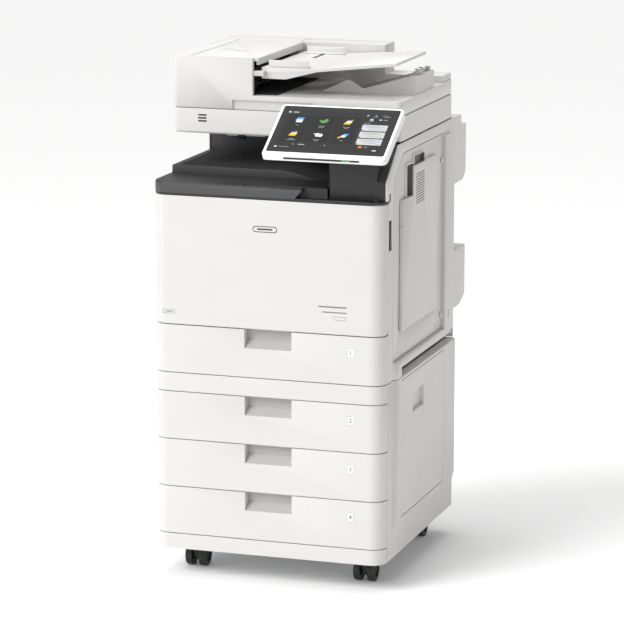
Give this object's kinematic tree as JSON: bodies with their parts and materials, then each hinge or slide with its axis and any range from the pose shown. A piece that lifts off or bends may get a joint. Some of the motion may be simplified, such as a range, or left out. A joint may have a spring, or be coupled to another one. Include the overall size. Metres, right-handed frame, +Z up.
{
  "type": "photocopier",
  "caption": "Floor-standing office copier on a drawer pedestal with casters: document feeder, scanner, tilting touch panel, output space, paper drawers and side doors.",
  "frame": {"origin": "on the floor under the middle of the machine's outer box", "axes": "+Z up, -Y the front with the operation panel, +X the machine's right side with the side doors"},
  "size_m": [0.5296, 0.7062, 1.1063],
  "materials": {
    "white_plastic": "fine moulded texture",
    "tray_plastic": "moulded",
    "black_plastic": "fine moulded texture",
    "grey_trim": "satin",
    "screen": "gloss",
    "glass": "clear",
    "steel": "zinc plated",
    "screw_steel": "plated",
    "dark_unit": "moulded",
    "board": "lacquered",
    "backing": "smooth",
    "roller_rubber": "ground",
    "wheel_rubber": "moulded"
  },
  "bodies": {
    "copier_body": {"control_board": "board", "control_tower": "black_plastic", "cover_screws": "screw_steel", "drive_motors": "steel", "front_trim": "grey_trim", "fuser_unit": "dark_unit", "laser_unit": "dark_unit", "left_cover": "white_plastic", "main_frame": "steel", "output_tray": "black_plastic", "pedestal_frame": "steel", "pedestal_front_strips": "white_plastic", "pedestal_left_panel": "white_plastic", "pedestal_rear_panel": "white_plastic", "pedestal_right_panel": "white_plastic", "platen_glass": "glass", "power_inlet": "black_plastic", "power_supply": "steel", "rear_cover": "white_plastic", "rear_lower_box": "white_plastic", "rear_upper_box": "white_plastic", "right_side_cover": "white_plastic", "scanner_housing": "white_plastic", "toner_bottles": "black_plastic", "transfer_belt_unit": "dark_unit", "waste_toner_box": "tray_plastic"},
    "front_cover": {"front_cover": "white_plastic"},
    "right_door": {"right_door": "white_plastic"},
    "bypass_tray": {"bypass_tray": "white_plastic"},
    "pedestal_door": {"pedestal_door": "white_plastic"},
    "door_release_lever": {"door_release_lever": "black_plastic"},
    "power_switch": {"power_switch": "black_plastic"},
    "operation_panel": {"panel_frame": "white_plastic", "panel_screen": "screen"},
    "scan_carriage": {"scan_carriage": "black_plastic"},
    "document_feeder": {"feeder_body": "white_plastic", "backing_plate": "backing"},
    "feeder_cover": {"feeder_cover": "white_plastic"},
    "feeder_pickup_roller": {"feeder_pickup_roller": "roller_rubber"},
    "feed_tray": {"feed_tray": "white_plastic"},
    "feed_guide_front": {"feed_guide_front": "white_plastic"},
    "feed_guide_rear": {"feed_guide_rear": "white_plastic"},
    "output_stopper": {"output_stopper": "white_plastic"},
    "drawer_1": {"drawer_front_1": "white_plastic", "drawer_tray_1": "tray_plastic"},
    "drawer_2": {"drawer_front_2": "white_plastic", "drawer_tray_2": "tray_plastic"},
    "drawer_3": {"drawer_front_3": "white_plastic", "drawer_tray_3": "tray_plastic"},
    "drawer_4": {"drawer_front_4": "white_plastic", "drawer_tray_4": "tray_plastic"},
    "caster_front_left": {"caster_fork_front_left": "black_plastic"},
    "wheels_front_left": {"caster_wheels_front_left": "wheel_rubber"},
    "caster_front_right": {"caster_fork_front_right": "black_plastic"},
    "wheels_front_right": {"caster_wheels_front_right": "wheel_rubber"},
    "caster_rear_left": {"caster_fork_rear_left": "black_plastic"},
    "wheels_rear_left": {"caster_wheels_rear_left": "wheel_rubber"},
    "caster_rear_right": {"caster_fork_rear_right": "black_plastic"},
    "wheels_rear_right": {"caster_wheels_rear_right": "wheel_rubber"}
  },
  "joints": [
    {"name": "drawer_1_slide", "type": "slide", "parent": "copier_body", "child": "drawer_1", "axis": [0, -1, 0], "range_m": [0, 0.38]},
    {"name": "drawer_2_slide", "type": "slide", "parent": "copier_body", "child": "drawer_2", "axis": [0, -1, 0], "range_m": [0, 0.38]},
    {"name": "drawer_3_slide", "type": "slide", "parent": "copier_body", "child": "drawer_3", "axis": [0, -1, 0], "range_m": [0, 0.38]},
    {"name": "drawer_4_slide", "type": "slide", "parent": "copier_body", "child": "drawer_4", "axis": [0, -1, 0], "range_m": [0, 0.38]},
    {"name": "front_cover_hinge", "type": "hinge", "parent": "copier_body", "child": "front_cover", "pos_m": [-0.26475, -0.28561, 0.5721], "axis": [1, 0, 0], "range_deg": [0, 85]},
    {"name": "right_door_hinge", "type": "hinge", "parent": "copier_body", "child": "right_door", "pos_m": [0.24825, 0.12739, 0.4864], "axis": [0, 0, 1], "range_deg": [0, 90]},
    {"name": "bypass_tray_hinge", "type": "hinge", "parent": "right_door", "child": "bypass_tray", "pos_m": [0.25025, -0.18561, 0.5494], "axis": [0, 1, 0], "range_deg": [0, 70]},
    {"name": "pedestal_door_hinge", "type": "hinge", "parent": "copier_body", "child": "pedestal_door", "pos_m": [0.24925, 0.12739, 0.141], "axis": [0, 0, 1], "range_deg": [0, 100]},
    {"name": "door_release_pull", "type": "hinge", "parent": "copier_body", "child": "door_release_lever", "pos_m": [0.23925, -0.25861, 0.7354], "axis": [0, 1, 0], "range_deg": [0, 8], "stiffness_Nm_per_rad": 0.6},
    {"name": "power_switch_rock", "type": "hinge", "parent": "copier_body", "child": "power_switch", "pos_m": [0.24025, -0.25861, 0.8393], "axis": [0, 1, 0], "range_deg": [-8, 8]},
    {"name": "panel_tilt", "type": "hinge", "parent": "copier_body", "child": "operation_panel", "pos_m": [-0.26475, -0.26758, 0.94151], "axis": [1, 0, 0], "range_deg": [0, 40]},
    {"name": "carriage_travel", "type": "slide", "parent": "copier_body", "child": "scan_carriage", "axis": [1, 0, 0], "range_m": [0, 0.33]},
    {"name": "feeder_hinge", "type": "hinge", "parent": "copier_body", "child": "document_feeder", "pos_m": [-0.26475, 0.21239, 1.0103], "axis": [-1, 0, 0], "range_deg": [0, 70]},
    {"name": "feeder_cover_hinge", "type": "hinge", "parent": "document_feeder", "child": "feeder_cover", "pos_m": [-0.21575, -0.29461, 1.1023], "axis": [0, -1, 0], "range_deg": [0, 80]},
    {"name": "pickup_roller_spin", "type": "hinge", "parent": "document_feeder", "child": "feeder_pickup_roller", "pos_m": [-0.10475, -0.29461, 1.0723], "axis": [0, 1, 0], "continuous": true},
    {"name": "feed_tray_lift", "type": "hinge", "parent": "document_feeder", "child": "feed_tray", "pos_m": [-0.06175, -0.29461, 1.0743], "axis": [0, -1, 0], "range_deg": [0, 25]},
    {"name": "feed_guide_front_slide", "type": "slide", "parent": "feed_tray", "child": "feed_guide_front", "axis": [0, 1, 0], "range_m": [0, 0.07]},
    {"name": "feed_guide_rear_slide", "type": "slide", "parent": "feed_tray", "child": "feed_guide_rear", "axis": [0, 1, 0], "range_m": [-0.07, 0]},
    {"name": "output_stopper_flip", "type": "hinge", "parent": "document_feeder", "child": "output_stopper", "pos_m": [0.23625, -0.29461, 1.0698], "axis": [0, 1, 0], "range_deg": [0, 90]},
    {"name": "swivel_front_left", "type": "hinge", "parent": "copier_body", "child": "caster_front_left", "pos_m": [-0.19975, -0.21461, 0.061], "axis": [0, 0, 1], "continuous": true},
    {"name": "roll_front_left", "type": "hinge", "parent": "caster_front_left", "child": "wheels_front_left", "pos_m": [-0.19975, -0.19861, 0.025], "axis": [1, 0, 0], "continuous": true},
    {"name": "swivel_front_right", "type": "hinge", "parent": "copier_body", "child": "caster_front_right", "pos_m": [0.18125, -0.21461, 0.061], "axis": [0, 0, 1], "continuous": true},
    {"name": "roll_front_right", "type": "hinge", "parent": "caster_front_right", "child": "wheels_front_right", "pos_m": [0.18125, -0.19861, 0.025], "axis": [1, 0, 0], "continuous": true},
    {"name": "swivel_rear_left", "type": "hinge", "parent": "copier_body", "child": "caster_rear_left", "pos_m": [-0.19975, 0.15739, 0.061], "axis": [0, 0, 1], "continuous": true},
    {"name": "roll_rear_left", "type": "hinge", "parent": "caster_rear_left", "child": "wheels_rear_left", "pos_m": [-0.19975, 0.17339, 0.025], "axis": [1, 0, 0], "continuous": true},
    {"name": "swivel_rear_right", "type": "hinge", "parent": "copier_body", "child": "caster_rear_right", "pos_m": [0.18125, 0.15739, 0.061], "axis": [0, 0, 1], "continuous": true},
    {"name": "roll_rear_right", "type": "hinge", "parent": "caster_rear_right", "child": "wheels_rear_right", "pos_m": [0.18125, 0.17339, 0.025], "axis": [1, 0, 0], "continuous": true}
  ],
  "couplings": [
    {"joint": "feed_guide_rear_slide", "follows": "feed_guide_front_slide", "ratio": -1}
  ]
}
